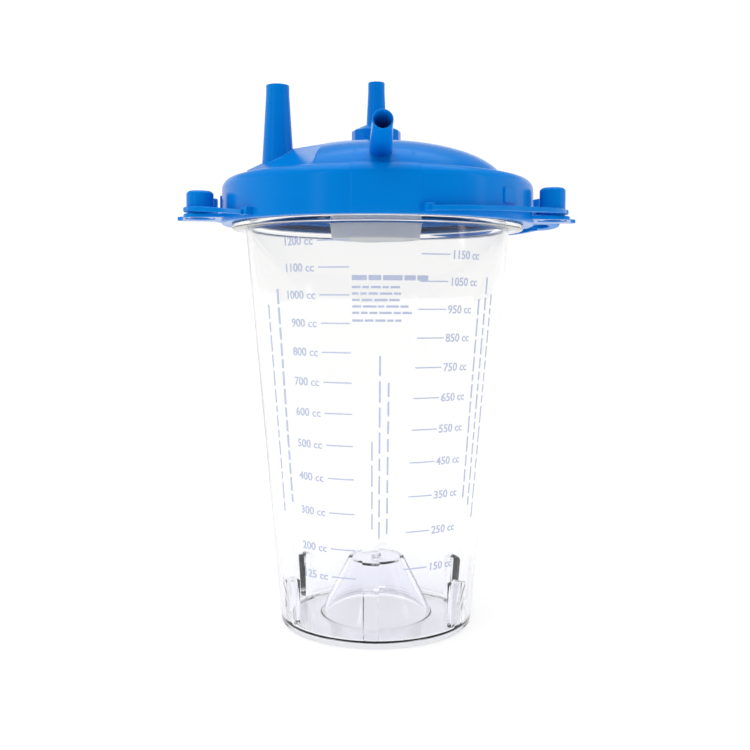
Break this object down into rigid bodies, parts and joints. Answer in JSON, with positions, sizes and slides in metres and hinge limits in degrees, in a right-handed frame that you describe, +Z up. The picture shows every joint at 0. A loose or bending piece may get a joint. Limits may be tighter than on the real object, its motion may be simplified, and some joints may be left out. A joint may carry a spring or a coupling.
{
  "type": "suction canister",
  "caption": "Clear tapered suction collection canister with a domed press-on lid, hose ports, float shut-off valve and tethered closures.",
  "frame": {"origin": "centre of the cup's resting face", "axes": "+Z up along the cup's axis, -Y towards the front with the patient spout and the printed scale, +X to the right as seen from the front"},
  "size_m": [0.1756, 0.149, 0.2437],
  "materials": {
    "clear_styrene": "clear moulded polystyrene",
    "ink": "pale blue printed ink",
    "lid_plastic": "semi-gloss blue moulded polypropylene",
    "frosted_plastic": "natural translucent polypropylene",
    "seal_rubber": "soft moulded rubber"
  },
  "bodies": {
    "cup": {"cup": "clear_styrene", "graduations_left": "ink", "graduations_right": "ink"},
    "lid": {"lid_shell": "lid_plastic", "left_ear": "lid_plastic", "right_ear": "lid_plastic", "ortho_port": "lid_plastic", "vacuum_port": "lid_plastic", "patient_port": "lid_plastic", "float_housing": "frosted_plastic"},
    "float": {"float": "frosted_plastic", "float_seal": "seal_rubber"},
    "right_cap": {"right_cap": "lid_plastic", "right_cap_strap": "lid_plastic"},
    "left_cap": {"left_cap": "lid_plastic", "left_cap_strap": "lid_plastic"},
    "right_plug": {"right_plug": "lid_plastic", "right_plug_strap": "lid_plastic"},
    "left_plug": {"left_plug": "lid_plastic", "left_plug_strap": "lid_plastic"}
  },
  "joints": [
    {"name": "lid_lift", "type": "slide", "parent": "cup", "child": "lid", "axis": [0, 0, 1], "range_m": [0, 0.04]},
    {"name": "float_rise", "type": "slide", "parent": "lid", "child": "float", "axis": [0, 0, 1], "range_m": [0, 0.0063]},
    {"name": "right_cap_swing", "type": "hinge", "parent": "lid", "child": "right_cap", "pos_m": [0.0171, -0.0687, 0.179], "axis": [0.674, -0.7387, 0], "range_deg": [0, 70]},
    {"name": "left_cap_swing", "type": "hinge", "parent": "lid", "child": "left_cap", "pos_m": [-0.0542, -0.0455, 0.179], "axis": [0.803, 0.596, 0], "range_deg": [0, 70]},
    {"name": "right_plug_swing", "type": "hinge", "parent": "lid", "child": "right_plug", "pos_m": [0.0183, 0.0684, 0.179], "axis": [-0.6159, -0.7878, 0], "range_deg": [0, 70]},
    {"name": "left_plug_swing", "type": "hinge", "parent": "lid", "child": "left_plug", "pos_m": [-0.0183, 0.0684, 0.179], "axis": [-0.6159, 0.7878, 0], "range_deg": [0, 70]}
  ]
}
